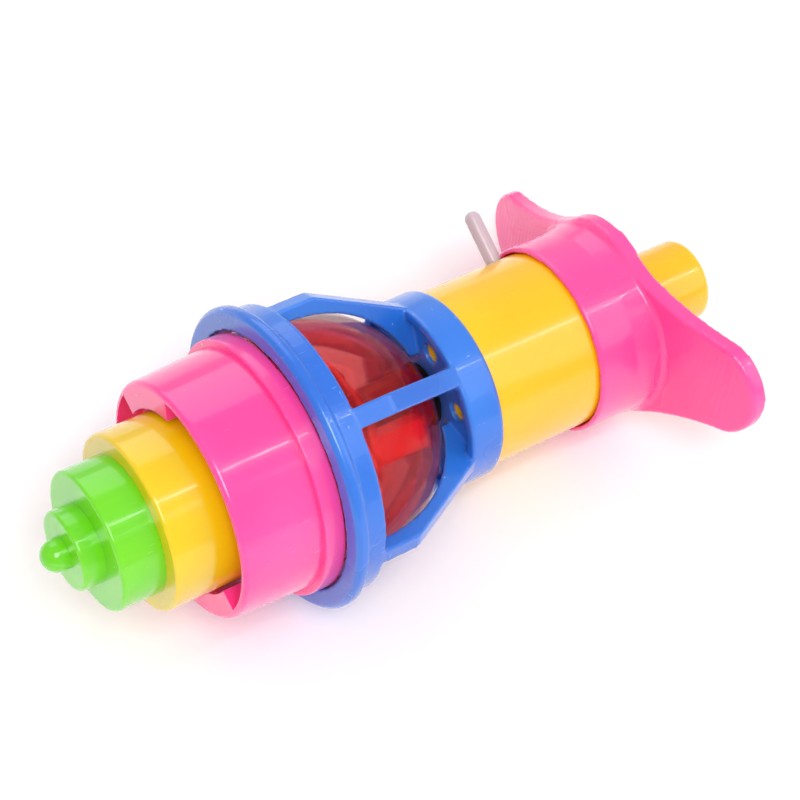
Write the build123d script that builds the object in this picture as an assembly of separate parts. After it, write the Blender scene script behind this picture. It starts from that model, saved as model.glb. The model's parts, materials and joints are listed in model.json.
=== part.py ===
from build123d import *
import math
import os

# Light-up spinning top held in its hand-wound launcher.
# Every piece is drawn about the toy's long axis (+X, from the top's tip to the end button) and
# the whole toy is then laid down at the end of the file. Angles about the axis are in degrees,
# counted from the front side (-Y) up over the toy. All sizes are in millimetres.

# ---- the top -------------------------------------------------------------------------------
tip_radius = 2.7            # rounded nose the top spins on
tip_start = -1.8
small_step_radius = 6.7     # first green step
small_step_start = 2.0
large_step_radius = 11.8    # second green step
large_step_start = 5.9
yellow_radius = 15.0
yellow_start = 13.4
yellow_flange_start = 28.0
shell_front_radius = 20.2   # pink body, slightly drafted
shell_rear_radius = 20.8
shell_start = 22.3
shell_step = 36.0           # where the rear collar of the pink body begins
shell_collar_radius = 22.0
shell_end = 39.5
tab_bore = 15.8             # two tabs of the front face reach in to this radius
tab_angle = 130.0
tab_width = 50.0            # degrees of the circle that each tab covers
dome_radius = 21.5
dome_straight_end = 47.0
dome_length = 21.0          # from the straight part to the crown
dome_wall = 1.4
board_x = 36.0              # front face of the circuit board
hub_end = 68.0
hub_radius = 5.1
socket_floor = 60.0
cell_radius = 5.8           # button cells
cell_height = 5.4
led_radius = 2.5

# ---- the launcher --------------------------------------------------------------------------
lip_radius = 26.0           # widest ring of the blue cage
lip_start = 39.3
band_radius = 24.7
band_end = 45.3
rib_count = 6
rib_first_angle = 57.0
rib_width = 3.3
rib_knee = 52.0
collar_radius = 16.5
collar_start = 67.5
collar_end = 74.1
plate_start = 68.8          # front face of the round plate inside the collar
plate_end = 71.4
window_radius = 1.65        # small holes in that plate
window_circle = 10.3
boss_radius = 1.6           # hollow yellow locating bosses standing in those holes
boss_bore = 0.95
boss_start = 69.5
lip_bore = 22.3             # the lip closes in on the pink collar
barrel_radius = 15.5
barrel_bore = 13.9
barrel_end = 104.0
bush_radius = 5.5
spindle_radius = 4.0
spindle_front = 62.4
spindle_end = 98.6
running_gap = 0.06          # radial clearance of the turning fits
drum_radius = 8.0
drum_start = 90.0
drum_end = 93.4
end_plate_start = 93.9
end_plate_end = 95.3

# ---- the pink winder cap -------------------------------------------------------------------
cap_radius = 16.6
cap_bore = 15.8
cap_start = 93.6
cap_wall_start = 105.0
cap_wall_end = 108.0
rim_radius = 18.5           # round rim between the wings
wing_span = 72.0
wing_sweep = 4.5            # how far the wing tips lean back
wing_angle = 14.5

# ---- the end button and the side pin -------------------------------------------------------
button_radius = 7.2
button_end = 124.8
button_stroke = 4.0
rod_radius = 1.5
pin_radius = 1.4
pin_x = 91.8
pin_tip = 25.0              # distance of the pin's outer end from the axis
pin_nose = 9.9              # distance of its inner end from the axis
pin_angle = 150.0

# ---- how the toy lies: on the cage lip, the cap rim and the far wing -----------------------
rest_tilt = 6.68
rest_roll = 4.61


# ================================ helpers ===================================================

def outline(points, rounds=()):
    """Closed flat outline; rounds lists (corner number, rounding radius)."""
    face = make_face(Polyline(*points, close=True))
    for corner, radius in rounds:
        spot = Vector(points[corner][0], points[corner][1], 0)
        face = fillet(min(face.vertices(), key=lambda v: (Vector(*v) - spot).length), radius)
    return face


def turned(points, rounds=()):
    """Solid turned about the long axis from (x, radius) corners."""
    return revolve(outline(points, rounds), Axis.X)


def ring(inner, outer, start, end):
    return turned([(start, inner), (end, inner), (end, outer), (start, outer)])


def bar(radius, start, end, offset=0.0):
    """Round bar along the long axis, offset to the upper side."""
    return Pos((start + end) / 2, 0, offset) * Rot(Y=90) * Cylinder(radius, end - start)


def around(shape, angle):
    """Turns a shape drawn on the upper side to the given angle about the long axis."""
    return Rot(X=90 - angle) * shape


def joined(shapes):
    total = None
    for shape in shapes:
        total = shape if total is None else total + shape
    return total


def screws(angles, circle, head_radius, head_start, head_end, shank_radius, shank_start, shank_end):
    """Cheese-head screws parallel to the axis, with a cross recess in each head."""
    outer_face = head_end if abs(head_end - shank_end) > abs(head_start - shank_end) else head_start
    slot = Pos(outer_face, 0, circle) * (Box(1.0, 0.5, 2.2 * 0.9) + Box(1.0, 2.2 * 0.9, 0.5))
    one = bar(head_radius, head_start, head_end, circle) - slot
    one += bar(shank_radius, shank_start, shank_end, circle)
    return [around(one, angle) for angle in angles]


# ================================ the top ===================================================

def tip_cup():
    """Green stepped nose: rounded tip, two steps and a spigot into the yellow step."""
    nose = make_face([
        ThreePointArc((tip_start, 0), (tip_start + tip_radius * 0.293, tip_radius * 0.707),
                      (tip_start + tip_radius, tip_radius)),
        Polyline((tip_start + tip_radius, tip_radius), (small_step_start + 0.6, tip_radius),
                 (small_step_start + 0.6, 0), (tip_start, 0))])
    shell = turned([(small_step_start, 0), (small_step_start, small_step_radius),
                    (large_step_start, small_step_radius), (large_step_start, large_step_radius),
                    (yellow_start, large_step_radius), (yellow_start, 10.4), (16.0, 10.4),
                    (16.0, 8.9), (7.6, 8.9), (7.6, 5.2), (3.8, 5.2), (3.8, 0)],
                   [(1, 0.6), (3, 0.6)])
    return revolve(nose, Axis.X) + shell


def yellow_step():
    """Yellow ring step with a flange inside the pink body and three posts for the board."""
    body = turned([(yellow_start, 10.45), (yellow_start, yellow_radius),
                   (yellow_flange_start + 0.3, yellow_radius), (yellow_flange_start + 0.3, 18.3),
                   (30.0, 18.3), (30.0, 13.4), (15.3, 13.4), (15.3, 10.45)], [(1, 0.6)])
    post = bar(2.2, 29.5, board_x, 15.6) - bar(0.95, 31.0, board_x, 15.6)
    return body + joined(around(post, 30 + 120 * k) for k in range(3))


def pink_shell():
    """Pink body: two tabs close the front round the yellow step, open cavity behind, rear collar."""
    body = turned([(shell_start, tab_bore), (shell_start, shell_front_radius),
                   (shell_step, shell_rear_radius), (shell_step, shell_collar_radius),
                   (shell_end, shell_collar_radius), (shell_end, 20.45), (38.0, 20.45),
                   (38.0, 18.6), (yellow_flange_start + 0.3, 18.6),
                   (yellow_flange_start + 0.3, 15.05), (27.2, 15.05), (27.2, tab_bore)],
                  [(1, 0.9), (3, 0.3), (4, 0.3)])
    sector = ring(tab_bore - 0.2, 19.2, shell_start - 1, 27.2)
    for centre in (tab_angle, tab_angle + 180):
        reach = Vector(0, math.cos(math.radians(tab_width / 2)), math.sin(math.radians(tab_width / 2)))
        wedge = Plane.YZ.offset(shell_start - 2) * make_face(Polyline(
            (0, 0), (reach.Z * 30, reach.Y * 30), (-reach.Z * 30, reach.Y * 30), close=True))
        sector -= around(extrude(wedge, 10), centre)
    return body - sector


def red_dome():
    """Clear red dome with a skirt into the pink body and a hole for the hub at its crown."""
    def crown(radius, length):
        return EllipticalCenterArc((dome_straight_end, 0), length, radius, start_angle=0, arc_size=90)
    outer = crown(dome_radius, dome_length)
    inner = crown(dome_radius - dome_wall, dome_length - dome_wall)
    section = make_face([
        outer, inner, Line(inner @ 0, outer @ 0),
        Polyline(outer @ 1, (41.0, dome_radius), (41.0, 21.9), (shell_end, 21.9), (shell_end, 20.4),
                 (38.0, 20.4), (38.0, 19.3), (dome_straight_end, 20.1), inner @ 1)])
    return revolve(section, Axis.X) - bar(hub_radius + 0.03, 60, 70)


def reflector_dish():
    """Bright dished plate below the dome, standing on a ledge of the pink body."""
    dish = turned([(38.0, 18.4), (38.0, 19.15), (45.6, 19.15), (45.6, 18.4), (44.0, 13.5),
                   (44.0, 3.0), (43.2, 3.0), (43.2, 13.9), (44.6, 18.4)])
    for k in range(3):
        dish -= around(bar(led_radius + 0.15, 42, 46, 11.5), 90 + 120 * k)
        dish -= around(bar(0.85, 42, 46, 7.6), 30 + 120 * k)
    return dish


def inner_cone():
    """Bright turned cone round the hub, with openings for the lamps and the light guide."""
    cone = turned([(45.7, 18.9), (46.6, 18.9), (50.8, 15.2), (54.2, 10.4), (54.2, 9.4), (53.4, 9.4),
                   (50.0, 14.4), (45.7, 18.0)])
    for k in range(3):
        cone -= around(bar(led_radius + 0.4, 44, 56, 11.5), 90 + 120 * k)
    return cone - around(Pos(52.5, 0, 11.5) * Box(17.4, 5.4, 4.4), 30)


def light_block():
    """Tall red light guide standing on the reflector beside the hub."""
    return around(Pos(52.5, 0, 11.5) * Box(17.0, 5.0, 3.2), 30)


def drive_hub():
    """Round hub from the reflector to the crown, with a six-sided socket in its end."""
    hub = turned([(44.0, 0), (44.0, 9.4), (45.2, 9.4), (45.2, hub_radius), (hub_end, hub_radius),
                  (hub_end, 0)], [(4, 0.4)])
    hub -= extrude(Plane.YZ.offset(socket_floor) * RegularPolygon(3.55, 6, major_radius=False), 10)
    hub -= bar(2.4, 46.5, socket_floor - 1.5)
    for k in range(3):
        hub -= around(bar(0.85, 43, 46, 7.6), 30 + 120 * k)
    return hub


def circuit_board():
    board = bar(18.2, board_x, board_x + 1.2)
    for k in range(3):
        board -= around(bar(0.95, 35, 38, 15.6), 30 + 120 * k)
    return board


def leds():
    """Three round-headed lamps with a foot flange."""
    lamp = turned([(37.2, 0), (37.2, 2.8), (38.2, 2.8), (38.2, led_radius), (43.4, led_radius),
                   (45.9, 0.0)], [(4, 1.2)])
    return [around(Pos(0, 0, 11.5) * lamp, 90 + 120 * k) for k in range(3)]


def spin_switch():
    """Radial switch that closes when the top spins: a tube with two end caps on the board."""
    tube = Pos(38.9, 0, 8.0) * Cylinder(1.3, 6.0)
    cap = Pos(38.8, 0, 8.0 - 2.6) * Cylinder(1.6, 0.8)
    return around(tube + cap + Pos(0, 0, 5.2) * cap, 270)


def sound_can():
    """Small round sounder on the front side of the board."""
    can = bar(4.6, 32.0, board_x, 12.9) - bar(0.7, 31.9, 33.0, 12.9)
    return around(can, 90)


def battery_holder():
    """Tube on the board that holds the stack of button cells."""
    tube = ring(cell_radius + 0.15, 7.3, 16.6, 34.6) + ring(0, 7.3, 34.6, board_x)
    return tube - Pos(22, 0, 7) * Box(6, 4, 6)


def button_cells():
    cells = []
    for k in range(3):
        start = 18.2 + k * cell_height
        cells.append(turned([(start, 0), (start, cell_radius), (start + 4.6, cell_radius),
                             (start + 4.8, 5.2), (start + cell_height, 5.2),
                             (start + cell_height, 0)], [(1, 0.4)]))
    return cells


def battery_spring():
    """Short conical contact spring between the green cup and the first cell."""
    path = Pos(16.75, 0, 0) * Rot(Y=90) * Helix(0.55, 1.1, 3.4)
    wire = Plane(origin=path @ 0, z_dir=path % 0) * Circle(0.2)
    return sweep(wire, path=path)


def contact_disc():
    """Brass contact between the last cell and the holder's floor."""
    return bar(4.8, 34.4, 34.6) + bar(1.0, 34.4, 34.6, 4.4)


# ================================ the launcher ==============================================

def blue_cage():
    """One moulding: lip and band, six bent ribs, rear collar with a pierced plate."""
    band = turned([(lip_start, lip_bore), (lip_start, 25.3), (40.0, lip_radius), (41.2, lip_radius),
                   (41.8, band_radius), (band_end, band_radius), (band_end, 22.9), (41.0, 22.9),
                   (40.4, lip_bore)],
                  [(1, 0.3), (2, 0.5), (3, 0.3), (5, 0.3)])
    rib = outline([(42.5, 22.95), (44.5, 22.5), (50.0, 8.0), (70.4, 8.0), (70.4, collar_radius - 0.2),
                   (collar_start + 1.0, collar_radius - 0.2), (rib_knee, band_radius - 0.1),
                   (42.5, band_radius - 0.1)], [(6, 2.5)])
    rib = extrude(Plane.XZ * rib, rib_width / 2, both=True)
    # the ribs' inner edges follow the dome at an even gap
    crown = EllipticalCenterArc((dome_straight_end, 0), dome_length + 0.6, dome_radius + 0.7,
                                start_angle=0, arc_size=90)
    room = make_face([crown, Polyline(crown @ 1, (40, dome_radius + 0.7), (40, 0), crown @ 0)])
    rib -= revolve(room, Axis.X)
    ribs = joined(around(rib, rib_first_angle + 360 / rib_count * k) for k in range(rib_count))
    collar = turned([(collar_start, 14.7), (collar_start, collar_radius - 0.3),
                     (collar_start + 0.4, collar_radius), (collar_end, collar_radius),
                     (collar_end, 14.7), (plate_end, 14.7), (plate_end, bush_radius),
                     (plate_start, bush_radius), (plate_start, 14.7)], [(3, 1.2)])
    cage = band + ribs + collar
    for k in range(6):
        cage -= around(bar(window_radius, 66, 73, window_circle), 27 + 60 * k)
    for k in range(3):
        cage -= around(bar(1.0, 69.6, 73, window_circle), rib_first_angle + 120 * k)
    return cage


def barrel():
    """Yellow tube with a front wall and a groove near its rear end for the winder cap."""
    tube = turned([(plate_end, bush_radius), (plate_end, 14.65), (collar_end, 14.65),
                   (collar_end, barrel_radius), (100.8, barrel_radius), (101.0, 15.1),
                   (102.6, 15.1), (102.8, barrel_radius), (barrel_end, barrel_radius),
                   (barrel_end, barrel_bore), (73.4, barrel_bore), (73.4, bush_radius)],
                  [(8, 0.3)])
    for k in range(6):
        tube += around(bar(boss_radius, boss_start, 72, window_circle), 27 + 60 * k)
        tube -= around(bar(boss_bore, 69, 75, window_circle), 27 + 60 * k)
    for k in range(3):
        tube -= around(bar(1.15, 70, 75, window_circle), rib_first_angle + 120 * k)
    tube -= around(Pos(pin_x, 0, 14.5) * Cylinder(pin_radius + running_gap, 6), pin_angle)
    return tube


def cage_screws():
    angles = [rib_first_angle + 120 * k for k in range(3)]
    return screws(angles, window_circle, 2.0, 73.4, 74.8, 0.95, 69.8, 73.4)


def spindle_bush():
    """Flanged plain bearing through the cage plate and the barrel's front wall."""
    return turned([(plate_start, spindle_radius + running_gap), (plate_start, bush_radius),
                   (73.4, bush_radius), (73.4, 7.4), (74.8, 7.4),
                   (74.8, spindle_radius + running_gap)])


def mainspring():
    """Flat spiral power spring: six turns of steel strip round the spindle."""
    thick, turns, first, last = 0.45, 6, 4.9, 13.3

    def edge(extra):
        points = []
        for k in range(turns * 8 + 1):
            radius = first + (last - first) * k / (turns * 8) + extra
            points.append((radius * math.cos(k * math.pi / 4), radius * math.sin(k * math.pi / 4)))
        return Spline(*points)
    inner, outer = edge(-thick / 2), edge(thick / 2)
    strip = make_face([inner, outer, Line(inner @ 0, outer @ 0), Line(inner @ 1, outer @ 1)])
    return extrude(Plane.YZ.offset(78.2) * strip, 9.0)


def end_plate():
    """White disc pressed into the barrel, rear bearing of the spindle."""
    return ring(spindle_radius + running_gap, barrel_bore, end_plate_start, end_plate_end)


def pin_guide():
    """Bracket on the barrel's inner wall that carries the inner end of the side pin."""
    bridge = Pos(pin_x, 0, 10.4) * Box(4.0, 9.0, 0.8) - Pos(pin_x, 0, 10.4) * Cylinder(pin_radius + running_gap, 3)
    legs = [Pos(pin_x, side * 4.0, 12.0) * Box(4.0, 1.0, 4.0) for side in (-1, 1)]
    return around((bridge + legs[0] + legs[1]) & bar(barrel_bore, 88, 96), pin_angle)


# ================================ the turning drive =========================================

def drive_spindle():
    """Hollow shaft with a shoulder behind the front bearing."""
    return turned([(spindle_front, rod_radius + 0.1), (spindle_front, 2.6), (68.6, 2.6),
                   (68.6, spindle_radius), (74.9, spindle_radius), (74.9, 6.2), (76.3, 6.2),
                   (76.3, spindle_radius), (spindle_end, spindle_radius),
                   (spindle_end, rod_radius + 0.1)])


def drive_dog():
    """Six-sided driver on the spindle's nose that turns the hub's socket."""
    dog = extrude(Plane.YZ.offset(61.2) * RegularPolygon(3.4, 6, major_radius=False), 7.4)
    return dog - bar(rod_radius + 0.1, 60, 63) - bar(2.6, spindle_front, 70)


def brake_drum():
    """Drum on the spindle that the side pin is pressed against."""
    return turned([(drum_start, spindle_radius), (drum_start, drum_radius), (drum_end, drum_radius),
                   (drum_end, spindle_radius)], [(1, 0.3), (2, 0.3)])


def clutch_wheel():
    """Star wheel with three curved fingers, the driven half of the one-way clutch."""
    wheel = ring(spindle_radius, 6.4, 96.0, 98.2)
    for k in range(3):
        finger = Pos(97.1, 3.0, 7.6) * Rot(X=28) * Box(2.2, 6.4, 1.1)
        wheel += around(finger, 120 * k)
    return wheel & bar(9.7, 95, 99)


def spindle_clip():
    """Retaining ring that keeps the spindle behind the end plate."""
    return ring(spindle_radius, 5.8, 95.36, 95.96) - Pos(95.7, 0, 5.0) * Box(2, 2.4, 4)


# ================================ the winder ================================================

def wings():
    """Two swept wings as one bowed plate, three millimetres thick."""
    half = wing_span / 2
    tip = ThreePointArc((half, 0), (half - 1.5, 4.9), (half - 6.0, 8.4))
    waist = ThreePointArc((half - 6.0, 8.4), (18.5, 10.8), (8.0, 15.5))
    rim = ThreePointArc((8.0, 15.5), (4.2, 17.75), (0, rim_radius))
    quarter = make_face([tip, waist, rim, Line((0, rim_radius), (0, 0)), Line((0, 0), (half, 0))])
    flat = quarter + mirror(quarter, Plane.XZ)
    flat = flat + mirror(flat, Plane.YZ)
    across = Plane((0, 0, 0), x_dir=(0, -1, 0), z_dir=(1, 0, 0))
    block = extrude(across.offset(100) * flat, 16)
    side = []
    for sign in (1, -1):
        side.append(make_face(Polyline(
            (0, cap_wall_start), (sign * 12, cap_wall_start + 0.2), (sign * 40, cap_wall_start + wing_sweep + 0.7),
            (sign * 40, cap_wall_end + wing_sweep + 0.7), (sign * 12, cap_wall_end + 0.2), (0, cap_wall_end),
            close=True)))
    bent = extrude(Plane((0, 0, 0), x_dir=(0, -1, 0), z_dir=(0, 0, 1)) * (side[0] + side[1]), 20, both=True)
    plate = block & bent
    outer = [e for e in plate.edges() if e.length > 12 and abs(e.center().X - 108) < 8
             and not (abs((e @ 0).Y) < 0.01 and abs((e @ 1).Y) < 0.01)]
    for radius in (1.2, 0.8, 0.4):
        try:
            return fillet(outer, radius)
        except Exception:
            continue
    return plate


def winder_cap():
    """Pink cap: skirt over the barrel, end wall with two wings, hole for the button."""
    skirt = turned([(cap_start, cap_bore), (cap_start, cap_radius), (101.0, cap_radius),
                    (cap_wall_start, 17.1), (cap_wall_start + 1.0, 17.1), (cap_wall_start + 1.0, cap_bore - 0.8),
                    (cap_wall_start, cap_bore), (102.4, cap_bore), (102.2, 15.4), (101.5, 15.4),
                    (101.3, cap_bore)], [(1, 0.6)])
    cap = Rot(X=-wing_angle) * wings() + skirt
    cap -= bar(button_radius + 0.15, 100, 112)
    for k in range(3):
        cap -= around(bar(1.0, 104, 109, 11.5), 90 + 120 * k)
        cap -= around(bar(2.1, cap_wall_end - 1.3, 112, 11.5), 90 + 120 * k)
    return cap


def winder_arbor():
    """Toothed sleeve screwed inside the cap, the driving half of the one-way clutch."""
    sleeve = ring(10.2, 13.2, 95.7, cap_wall_start)
    for k in range(12):
        sleeve -= around(Pos(97.0, 0, 10.4) * Rot(X=35) * Box(2.6, 2.0, 1.6), 30 * k)
    for k in range(3):
        sleeve -= around(bar(0.95, 99.5, 106, 11.7), 90 + 120 * k)
    return sleeve


def winder_screws():
    angles = [90 + 120 * k for k in range(3)]
    return screws(angles, 11.5, 1.9, cap_wall_end - 1.3, cap_wall_end - 0.1, 0.75, 100.0, cap_wall_end - 1.3)


# ================================ button and pin ============================================

def eject_button():
    """Yellow end button: hollow, closed at the rear, with a retaining flange in the cap."""
    return turned([(102.9, 5.4), (102.9, 8.8), (104.7, 8.8), (104.7, button_radius),
                   (button_end, button_radius), (button_end, 0), (button_end - 1.8, 0),
                   (button_end - 1.8, 5.4)], [(4, 1.6)])


def push_rod():
    """Steel rod through the hollow spindle, headed inside the button."""
    return turned([(64.4, 0), (64.4, rod_radius), (121.4, rod_radius), (121.4, 4.6),
                   (button_end - 1.8, 4.6), (button_end - 1.8, 0)], [(1, 0.4)])


def button_spring():
    """Compression spring round the rod, from the spindle's end to the rod's head."""
    path = Pos(99.0, 0, 0) * Rot(Y=90) * Helix(3.1, 21.9, 3.2)
    wire = Plane(origin=path @ 0, z_dir=path % 0) * Circle(0.35)
    return sweep(wire, path=path)


def release_pin():
    """Round-ended side pin with a flange inside the barrel."""
    body = Pos(0, 0, (pin_nose + pin_tip) / 2) * Cylinder(pin_radius, pin_tip - pin_nose)
    body = fillet(body.edges().sort_by(Axis.Z)[-1], pin_radius - 0.1)
    body += Pos(0, 0, 13.0) * Cylinder(1.95, 0.6)
    return around(Pos(pin_x, 0, 0) * body, pin_angle)


def pin_spring():
    """Small spring that pushes the side pin outwards."""
    path = Pos(pin_x, 0, 10.98) * Helix(0.62, 1.5, 1.75)
    wire = Plane(origin=path @ 0, z_dir=path % 0) * Circle(0.15)
    return around(sweep(wire, path=path), pin_angle)


# ================================ laying the toy down and writing the files =================

builders = [
    tip_cup, yellow_step, pink_shell, red_dome, reflector_dish, inner_cone, light_block, drive_hub,
    circuit_board, leds, spin_switch, sound_can, battery_holder, button_cells, battery_spring,
    contact_disc, blue_cage, barrel, cage_screws, spindle_bush, mainspring, end_plate, pin_guide,
    drive_spindle, drive_dog, brake_drum, clutch_wheel, spindle_clip, winder_cap, winder_arbor,
    winder_screws, eject_button, push_rod, button_spring, release_pin, pin_spring]

extra_screws = {
    "hub_screws": screws([30, 150, 270], 7.6, 1.5, 45.2, 46.2, 0.8, 41.0, 45.2),
    "board_screws": screws([30, 150, 270], 15.6, 1.8, 37.2, 38.4, 0.9, 31.5, 37.2),
}

pieces = {}
for builder in builders:
    made = builder()
    pieces[builder.__name__] = list(made) if isinstance(made, list) else list(made.solids())
pieces.update(extra_screws)

laid = Rot(Y=rest_tilt) * Rot(X=-rest_roll)
placed = {}
for name, solids in pieces.items():
    placed[name] = [laid * solid for shape in solids for solid in shape.solids()]

boxes = [solid.bounding_box() for solids in placed.values() for solid in solids]
low = [min(getattr(b.min, side) for b in boxes) for side in ("X", "Y", "Z")]
high = [max(getattr(b.max, side) for b in boxes) for side in ("X", "Y", "Z")]
shift = Pos(-(low[0] + high[0]) / 2, -(low[1] + high[1]) / 2, -low[2])
os.makedirs("parts", exist_ok=True)
for name, solids in placed.items():
    moved = [shift * solid for solid in solids]
    export_step(moved[0] if len(moved) == 1 else Compound(children=moved), "parts/" + name + ".step")
print("size", [round(h - l, 3) for h, l in zip(high, low)])
print("toy axis starts at", (shift * laid * Location((0, 0, 0))).position)
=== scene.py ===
import json
import math

import bpy
from mathutils import Matrix, Vector
from mathutils.bvhtree import BVHTree

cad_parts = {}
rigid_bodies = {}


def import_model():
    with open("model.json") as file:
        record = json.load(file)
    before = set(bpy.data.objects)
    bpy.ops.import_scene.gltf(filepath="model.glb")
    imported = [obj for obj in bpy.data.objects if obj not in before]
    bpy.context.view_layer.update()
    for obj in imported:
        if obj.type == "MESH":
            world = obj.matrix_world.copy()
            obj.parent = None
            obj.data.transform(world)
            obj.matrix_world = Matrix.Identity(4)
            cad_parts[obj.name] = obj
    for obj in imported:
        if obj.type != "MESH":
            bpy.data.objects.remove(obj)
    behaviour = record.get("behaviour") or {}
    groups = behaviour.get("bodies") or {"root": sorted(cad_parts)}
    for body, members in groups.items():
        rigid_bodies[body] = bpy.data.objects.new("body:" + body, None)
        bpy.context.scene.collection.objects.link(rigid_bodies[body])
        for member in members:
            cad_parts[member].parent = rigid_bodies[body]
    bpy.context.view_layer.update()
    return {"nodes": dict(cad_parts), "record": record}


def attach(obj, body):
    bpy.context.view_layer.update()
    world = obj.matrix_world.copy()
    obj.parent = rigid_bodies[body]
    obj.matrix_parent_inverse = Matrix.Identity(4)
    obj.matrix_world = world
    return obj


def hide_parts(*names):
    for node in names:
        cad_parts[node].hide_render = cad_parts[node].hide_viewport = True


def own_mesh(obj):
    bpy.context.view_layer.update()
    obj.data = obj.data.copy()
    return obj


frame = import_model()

record = frame["record"]
scene = bpy.context.scene

# ---------------------------------------------------------------- the toy's own axis
# +X runs from the top's tip to the end button, the rolled +Z is the upper side
spin = next(j for j in record["behaviour"]["joints"] if j["name"] == "drive_spin")
along = Vector(spin["axis"]).normalized()
rest_roll = math.radians(4.61)
spin_place = 0.086          # metres from the toy's zero point to the joint's own point
start = Vector(spin["pos_m"]) - along * spin_place
tilt = math.atan2(-along.z, along.x)
TOY = (Matrix.Translation(start) @ Matrix.Rotation(tilt, 4, "Y")
       @ Matrix.Rotation(-rest_roll, 4, "X"))


# ---------------------------------------------------------------- material helpers
def lin(r, g, b, a=1.0):
    def one(c):
        c /= 255.0
        return c / 12.92 if c <= 0.04045 else ((c + 0.055) / 1.055) ** 2.4
    return (one(r), one(g), one(b), a)


def shade(color, k):
    return (min(color[0] * k, 1), min(color[1] * k, 1), min(color[2] * k, 1), color[3])


class Mat:
    """One node material with coordinates along the toy's axis, in metres."""

    def __init__(self, name, rough=0.3, metal=0.0):
        self.m = bpy.data.materials.new(name)
        self.m.use_nodes = True
        self.t = self.m.node_tree
        self.b = self.t.nodes["Principled BSDF"]
        self.b.inputs["Roughness"].default_value = rough
        self.b.inputs["Metallic"].default_value = metal
        coord = self.new("ShaderNodeTexCoord")
        self.map = self.new("ShaderNodeMapping", vector_type="TEXTURE")
        self.map.inputs["Location"].default_value = TOY.translation
        self.map.inputs["Rotation"].default_value = TOY.to_euler()
        self.link(coord.outputs["Object"], self.map.inputs["Vector"])
        self.place = self.map.outputs["Vector"]
        self.height = None

    def new(self, kind, **values):
        node = self.t.nodes.new(kind)
        for key, value in values.items():
            setattr(node, key, value)
        return node

    def link(self, a, b):
        self.t.links.new(a, b)

    def set(self, **values):
        for key, value in values.items():
            self.b.inputs[key.replace("_", " ")].default_value = value
        return self

    def scaled(self, scale, rotate=(0, 0, 0)):
        node = self.new("ShaderNodeMapping")
        node.inputs["Scale"].default_value = scale
        node.inputs["Rotation"].default_value = rotate
        self.link(self.place, node.inputs["Vector"])
        return node.outputs["Vector"]

    def noise(self, scale, detail=3.0, rough=0.5, rotate=(0, 0, 0), distortion=0.0):
        node = self.new("ShaderNodeTexNoise")
        node.inputs["Scale"].default_value = 1.0
        node.inputs["Detail"].default_value = detail
        node.inputs["Roughness"].default_value = rough
        node.inputs["Distortion"].default_value = distortion
        self.link(self.scaled(scale, rotate), node.inputs["Vector"])
        return node.outputs["Fac"]

    def ramp(self, value, *stops):
        node = self.new("ShaderNodeValToRGB")
        ramp = node.color_ramp
        while len(ramp.elements) < len(stops):
            ramp.elements.new(0.5)
        for element, (position, color) in zip(ramp.elements, stops):
            element.position = position
            element.color = color if isinstance(color, tuple) else (color, color, color, 1)
        self.link(value, node.inputs["Fac"])
        return node.outputs["Color"]

    def math(self, kind, a, b=0.0, clamp=False):
        node = self.new("ShaderNodeMath", operation=kind, use_clamp=clamp)
        for socket, value in zip(node.inputs, (a, b)):
            if isinstance(value, (int, float)):
                socket.default_value = value
            else:
                self.link(value, socket)
        return node.outputs[0]

    def mix(self, fac, a, b, blend="MIX"):
        node = self.new("ShaderNodeMix", data_type="RGBA", blend_type=blend)
        for socket, value in zip((node.inputs[0], node.inputs[6], node.inputs[7]), (fac, a, b)):
            if isinstance(value, (int, float, tuple)):
                socket.default_value = value
            else:
                self.link(value, socket)
        return node.outputs[2]

    def bump(self, height, strength, distance):
        node = self.new("ShaderNodeBump")
        node.inputs["Strength"].default_value = strength
        node.inputs["Distance"].default_value = distance
        self.link(height, node.inputs["Height"])
        if self.height is not None:
            self.link(self.height, node.inputs["Normal"])
        self.height = node.outputs["Normal"]
        self.link(self.height, self.b.inputs["Normal"])


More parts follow.
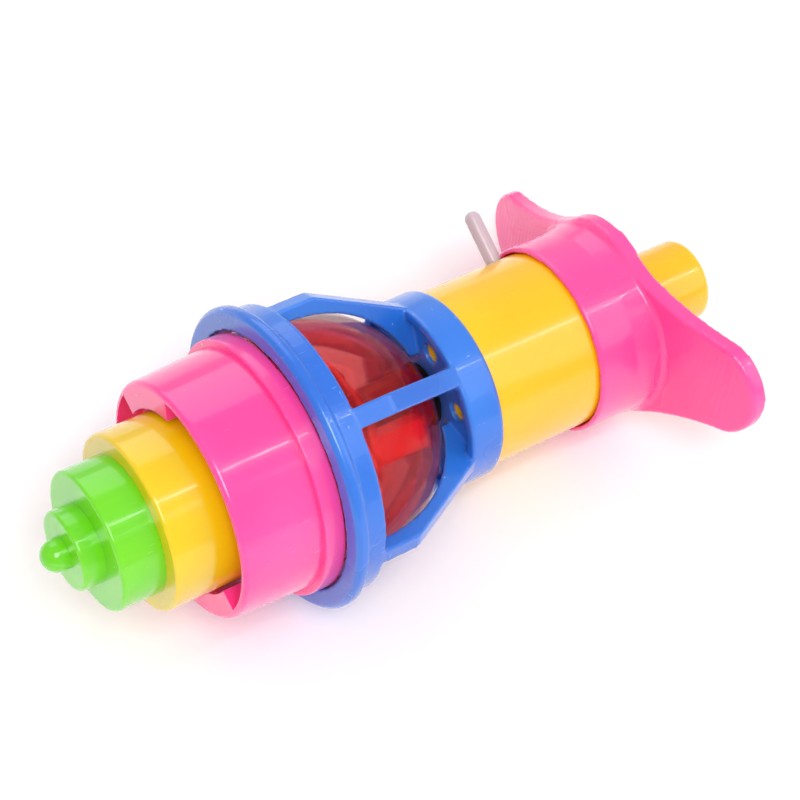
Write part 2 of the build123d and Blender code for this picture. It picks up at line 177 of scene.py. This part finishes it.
def plastic(name, color, rough=0.24, glow=0.0, streak=0.35, scuffs=0.25, tint=None, coat=0.5,
            specks=0.0):
    """Moulded plastic: faint tone drift, fine draw lines along the axis, small scuffs, clear gloss."""
    m = Mat(name, rough)
    cloud = m.noise((45, 45, 45), 1.0)
    tone = m.ramp(cloud, (0.25, shade(color, 0.97)), (0.5, color), (0.8, tint or shade(color, 1.06)))
    lines = m.noise((18, 620, 620), 2.0, 0.55)
    tone = m.mix(m.ramp(lines, (0.4, 0.0), (0.8, 0.3 * streak)), tone, shade(color, 1.3))
    pale = (min(1, color[0] + 0.35), min(1, color[1] + 0.35), min(1, color[2] + 0.35), 1)
    hair = m.noise((300, 4200, 2000), 2.0, 0.5, rotate=(0.2, 0.5, 0.35))
    nick = m.noise((2600, 420, 700), 2.0, 0.5, rotate=(0.9, 0.1, 0.7))
    patch = m.ramp(m.noise((150, 150, 150), 2.0), (0.5, 0.0), (0.66, 1.0))
    hair = m.ramp(hair, (0.69, 0.0), (0.76, 1.0))
    nick = m.ramp(nick, (0.72, 0.0), (0.78, 1.0))
    marks = m.math("ADD", hair, nick, True)
    marks = m.math("MULTIPLY", marks, patch)
    tone = m.mix(m.math("MULTIPLY", marks, scuffs), tone, pale)
    if specks:
        dots = m.ramp(m.noise((1900, 1900, 1900), 0.0), (0.84, 0.0), (0.87, specks))
        tone = m.mix(dots, tone, pale)
    m.link(tone, m.b.inputs["Base Color"])
    gloss = m.math("ADD", m.math("MULTIPLY", cloud, 0.08), rough - 0.04)
    m.link(m.math("ADD", gloss, m.math("MULTIPLY", marks, 0.2)), m.b.inputs["Roughness"])
    m.bump(lines, 0.12 * streak, 0.0002)
    m.bump(marks, -0.10, 0.0001)
    m.set(Subsurface_Weight=glow, Subsurface_Scale=0.003, Coat_Weight=coat,
          Coat_Roughness=0.06, IOR=1.5)
    m.b.inputs["Subsurface Radius"].default_value = (1.0, 0.5, 0.4)
    return m


def metal(name, color, rough=0.3, brushed=(40, 40, 1800), amount=0.3):
    m = Mat(name, rough, 1.0)
    grain = m.noise(brushed, 3.0, 0.6)
    m.link(m.ramp(grain, (0.25, shade(color, 0.7)), (0.75, shade(color, 1.1))), m.b.inputs["Base Color"])
    m.link(m.math("ADD", m.math("MULTIPLY", grain, 0.25), rough - 0.1), m.b.inputs["Roughness"])
    m.bump(grain, amount, 0.0001)
    return m


def dress(node, mat, bevel):
    """Gives a CAD node its material and, where bevel is above 0, slightly rounded edges."""
    obj = frame["nodes"][node]
    if not obj.data.materials:
        obj.data.materials.append(mat.m)
    for slot in obj.material_slots:
        slot.material = mat.m
    if bevel:
        mod = obj.modifiers.new("soft_edges", "BEVEL")
        mod.width = bevel
        mod.segments = 3
        mod.limit_method = "ANGLE"
        mod.angle_limit = math.radians(35)


def copied(node, suffix):
    """A new piece with the mesh of a CAD node."""
    source = frame["nodes"][node]
    work = bpy.data.objects.new(node + suffix, source.data.copy())
    scene.collection.objects.link(work)
    work.matrix_world = source.matrix_world.copy()
    return work


def evaluated(work):
    """Puts the result of a piece's modifiers into its mesh."""
    graph = bpy.context.evaluated_depsgraph_get()
    mesh = bpy.data.meshes.new_from_object(work.evaluated_get(graph), depsgraph=graph)
    work.modifiers.clear()
    work.data = mesh


def softened(node, body, mat, voxel, rounds, weight=None):
    """Copy of a CAD node with its edges and inner corners rounded, as a moulding has them.
    weight(x) says how much of the rounding a point gets by its place along the toy's axis."""
    source = frame["nodes"][node]
    work = copied(node, "_moulded")
    remesh = work.modifiers.new("remesh", "REMESH")
    remesh.mode = "VOXEL"
    remesh.voxel_size = voxel
    evaluated(work)
    smooth = work.modifiers.new("smooth", "SMOOTH")
    smooth.factor = 0.5
    smooth.iterations = rounds
    if weight:
        inverse = TOY.inverted()
        steps = {}
        for vertex in work.data.vertices:
            steps.setdefault(round(weight((inverse @ vertex.co).x), 1), []).append(vertex.index)
        group = work.vertex_groups.new(name="rounding")
        for amount, members in sorted(steps.items()):
            group.add(members, amount, "REPLACE")
        smooth.vertex_group = "rounding"
    evaluated(work)
    # plain walls go back exactly onto the CAD surface, so that only edges and corners change
    surface = BVHTree.FromPolygons([v.co for v in source.data.vertices],
                                   [list(f.vertices) for f in source.data.polygons])
    for vertex in work.data.vertices:
        near, _, _, gap = surface.find_nearest(vertex.co)
        keep = min(1.0, max(0.0, (gap - 0.00004) / 0.00012))
        vertex.co = near.lerp(vertex.co, keep)
    for face in work.data.polygons:
        face.use_smooth = True
    work.data.materials.clear()
    work.data.materials.append(mat.m)
    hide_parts(node)
    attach(work, body)


# ---------------------------------------------------------------- materials
green = plastic("green_plastic", lin(106, 206, 14), 0.2, glow=0.25, tint=lin(124, 216, 34))
ochre = plastic("ochre_plastic", lin(230, 192, 0), 0.2, glow=0.2, scuffs=0.5, tint=lin(236, 200, 10))
pink = plastic("pink_plastic", lin(255, 64, 152), 0.22, glow=0.4, tint=lin(255, 82, 164))
cap_pink = plastic("cap_plastic", lin(255, 70, 152), 0.28, glow=0.35, streak=0.15,
                   tint=lin(255, 86, 166))
# fine moulded grip lines on the wings, fading out towards the rim
across = cap_pink.new("ShaderNodeSeparateXYZ")
cap_pink.link(cap_pink.place, across.inputs["Vector"])
reach = cap_pink.math("ABSOLUTE", across.outputs["Y"])
grip = cap_pink.math("SINE", cap_pink.math("MULTIPLY", across.outputs["Y"], 2 * math.pi / 0.0011))
fade = cap_pink.math("MULTIPLY", cap_pink.ramp(reach, (0.0205, 0.0), (0.024, 1.0)),
                     cap_pink.ramp(reach, (0.0295, 1.0), (0.0325, 0.0)))
cap_pink.bump(cap_pink.math("MULTIPLY", grip, fade), 0.13, 0.00012)
blue = plastic("blue_plastic", lin(32, 104, 206), 0.27, glow=0.1, scuffs=0.8, tint=lin(52, 126, 222),
               specks=0.6)
yellow = plastic("yellow_plastic", lin(255, 186, 2), 0.24, glow=0.3, tint=lin(255, 196, 14))
white = plastic("white_plastic", lin(232, 230, 222), 0.4, glow=0.1)
milky = plastic("milky_plastic", lin(190, 172, 182), 0.3, glow=0.5, tint=lin(210, 196, 204))
red = plastic("red_plastic", lin(206, 12, 34), 0.3, glow=0.2)
black = plastic("black_plastic", lin(30, 30, 33), 0.5, coat=0.0)
board = plastic("board_green", lin(24, 92, 48), 0.45, coat=0.1)
steel = metal("steel", lin(190, 190, 196), 0.3)
spring = metal("spring_steel", lin(150, 150, 158), 0.35)
brass = metal("brass", lin(212, 172, 92), 0.3)
lamp = plastic("lamp", lin(240, 232, 222), 0.15, glow=0.4)

# red liner under the dome: brush marks round the axis in its bump, painted sheen along the brush marks,
# darker bands painted as dark reflections, bright flecks painted as glints
foil = Mat("bright_foil", 0.3)
brush_and_sheen = foil.noise((2400, 170, 170), 4.0, 0.65)
painted_dark_band = foil.noise((260, 60, 60), 2.0, 0.6, distortion=0.6)
# the pale end of this ramp is painted sheen along the brush marks
liner_and_painted_sheen = foil.ramp(brush_and_sheen, (0.34, lin(228, 40, 28)), (0.5, lin(255, 112, 78)), (0.68, lin(255, 206, 178)))
# the darker bands are painted dark reflections on the foil
liner_and_painted_sheen = foil.mix(foil.ramp(painted_dark_band, (0.42, 0.9), (0.47, 0.0)), liner_and_painted_sheen, lin(128, 12, 14))
# the bright flecks are painted glints
painted_glint = foil.ramp(foil.noise((1500, 1500, 1500), 1.0), (0.70, 0.0), (0.74, 1.0))
foil.link(foil.mix(painted_glint, liner_and_painted_sheen, lin(255, 214, 190)), foil.b.inputs["Base Color"])
foil.bump(brush_and_sheen, 0.5, 0.0002)
foil.set(Metallic=0.0, Coat_Weight=0.6, Coat_Roughness=0.08)

clear = Mat("clear_red", 0.0)
swirl = clear.noise((60, 60, 60), 2.0)
swirl = clear.ramp(swirl, (0.3, lin(255, 34, 40)), (0.7, lin(255, 70, 70)))
clear.link(swirl, clear.b.inputs["Base Color"])
clear.set(Transmission_Weight=0.85, IOR=1.08, Coat_Weight=0.5, Coat_Roughness=0.02, Alpha=0.46,
          Specular_Tint=(1.0, 0.42, 0.45, 1.0), Coat_Tint=(1.0, 0.75, 0.75, 1.0))
maroon = plastic("maroon_plastic", lin(132, 10, 12), 0.3, glow=0.2)

for node, mat, bevel in (
        ("tip_cup", green, 0.0), ("yellow_step", ochre, 0.0), ("pink_shell", pink, 0.0002),
        ("red_dome", clear, 0.0), ("reflector_dish", foil, 0.0), ("inner_cone", foil, 0.0),
        ("light_block", red, 0.0004),
        ("drive_hub", maroon, 0.0), ("circuit_board", board, 0.0), ("leds", lamp, 0.0),
        ("spin_switch", steel, 0.0), ("sound_can", black, 0.0), ("battery_holder", black, 0.0),
        ("button_cells", steel, 0.0), ("battery_spring", spring, 0.0), ("contact_disc", brass, 0.0),
        ("hub_screws", steel, 0.0), ("board_screws", steel, 0.0), ("blue_cage", blue, 0.0),
        ("barrel", yellow, 0.0), ("cage_screws", steel, 0.0), ("spindle_bush", black, 0.0),
        ("mainspring", spring, 0.0), ("end_plate", white, 0.0), ("pin_guide", white, 0.0),
        ("drive_spindle", black, 0.0), ("drive_dog", black, 0.0), ("brake_drum", black, 0.0),
        ("clutch_wheel", black, 0.0), ("spindle_clip", spring, 0.0), ("winder_cap", cap_pink, 0.0),
        ("winder_arbor", white, 0.0), ("winder_screws", steel, 0.0), ("eject_button", yellow, 0.0),
        ("push_rod", steel, 0.0), ("button_spring", spring, 0.0), ("release_pin", milky, 0.0),
        ("pin_spring", spring, 0.0)):
    dress(node, mat, bevel)

moulding_voxel = 0.0003
# the cap's skirt keeps its crisp rim, and the rounding grows towards the wings
softened("winder_cap", "winder", cap_pink, moulding_voxel, 30,
         weight=lambda x: min(1.0, max(0.1, (x - 0.1012) / 0.003)))
softened("blue_cage", "launcher", blue, moulding_voxel, 3)


def coil(node, joint):
    """Compression spring that stands on its seat, copied onto the parent body of its joint."""
    work = copied(node, "_coil")
    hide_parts(node)
    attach(work, next(j["parent"] for j in record["behaviour"]["joints"] if j["name"] == joint))
    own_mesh(work)
    return work


# each spring is carried by the parent body of its joint, which holds its seat
coil("button_spring", "button_press")
coil("pin_spring", "pin_press")

# ---------------------------------------------------------------- floor, light, camera
bpy.ops.mesh.primitive_plane_add(size=6.0)
floor = bpy.context.object
floor.name = "floor"
paper = Mat("floor_paper", 0.9)
paper.link(paper.ramp(paper.noise((9, 9, 9)), (0.3, lin(246, 246, 247)), (0.7, lin(250, 250, 251))),
           paper.b.inputs["Base Color"])
floor.data.materials.append(paper.m)

world = bpy.data.worlds.new("studio")
scene.world = world
world.use_nodes = True
world.node_tree.nodes["Background"].inputs["Color"].default_value = (1, 1, 1, 1)
world.node_tree.nodes["Background"].inputs["Strength"].default_value = 0.62


def light(name, place, target, size, power, size_y=None):
    data = bpy.data.lights.new(name, "AREA")
    data.energy = power
    data.size = size
    if size_y:
        data.shape = "RECTANGLE"
        data.size_y = size_y
    obj = bpy.data.objects.new(name, data)
    scene.collection.objects.link(obj)
    obj.location = place
    obj.rotation_euler = (Vector(target) - Vector(place)).to_track_quat("-Z", "Y").to_euler()


light("key", (-0.25, -0.45, 0.85), (0, 0, 0.02), 0.45, 5.0)
light("fill", (0.7, -0.5, 0.5), (0, 0, 0.02), 0.7, 1.7)
light("back", (0.1, 0.8, 0.6), (0, 0, 0.02), 0.8, 2.4)

# one long thin tube parallel to the toy draws the fine bright lines along its steps
tube_data = bpy.data.lights.new("tube", "AREA")
tube_data.shape = "RECTANGLE"
tube_data.size, tube_data.size_y, tube_data.energy = 1.2, 0.012, 1.3
tube = bpy.data.objects.new("tube", tube_data)
scene.collection.objects.link(tube)
aim = TOY.to_3x3() @ Vector((0.0, -0.43, 0.90)).normalized()
middle = TOY @ Vector((0.43, 0.0, 0.0)) + aim * 0.9
tube.matrix_world = Matrix((along, aim.cross(along).normalized(), aim)).transposed().to_4x4()
tube.matrix_world.translation = middle

cam_data = bpy.data.cameras.new("camera")
cam = bpy.data.objects.new("camera", cam_data)
scene.collection.objects.link(cam)
cam_data.sensor_width = 36.0
cam_data.lens = 112.5
right = Vector((0.8275782, -0.55337, 0.09429))
down = Vector((-0.36492223, -0.65798, -0.65870))
ahead = Vector((0.42655138, 0.51072, -0.74647))
# the toy axis starts at this point seen from the camera: right, down, ahead, in metres
seen = (-0.053376, 0.024136, 0.383216)
origin = -(right * seen[0] + down * seen[1] + ahead * seen[2])
pose = Matrix((right, -down, -ahead)).transposed().to_4x4()
pose.translation = origin
cam.matrix_world = TOY @ pose
cam_data.clip_start, cam_data.clip_end = 0.01, 20
scene.camera = cam
scene.view_settings.view_transform = "Standard"
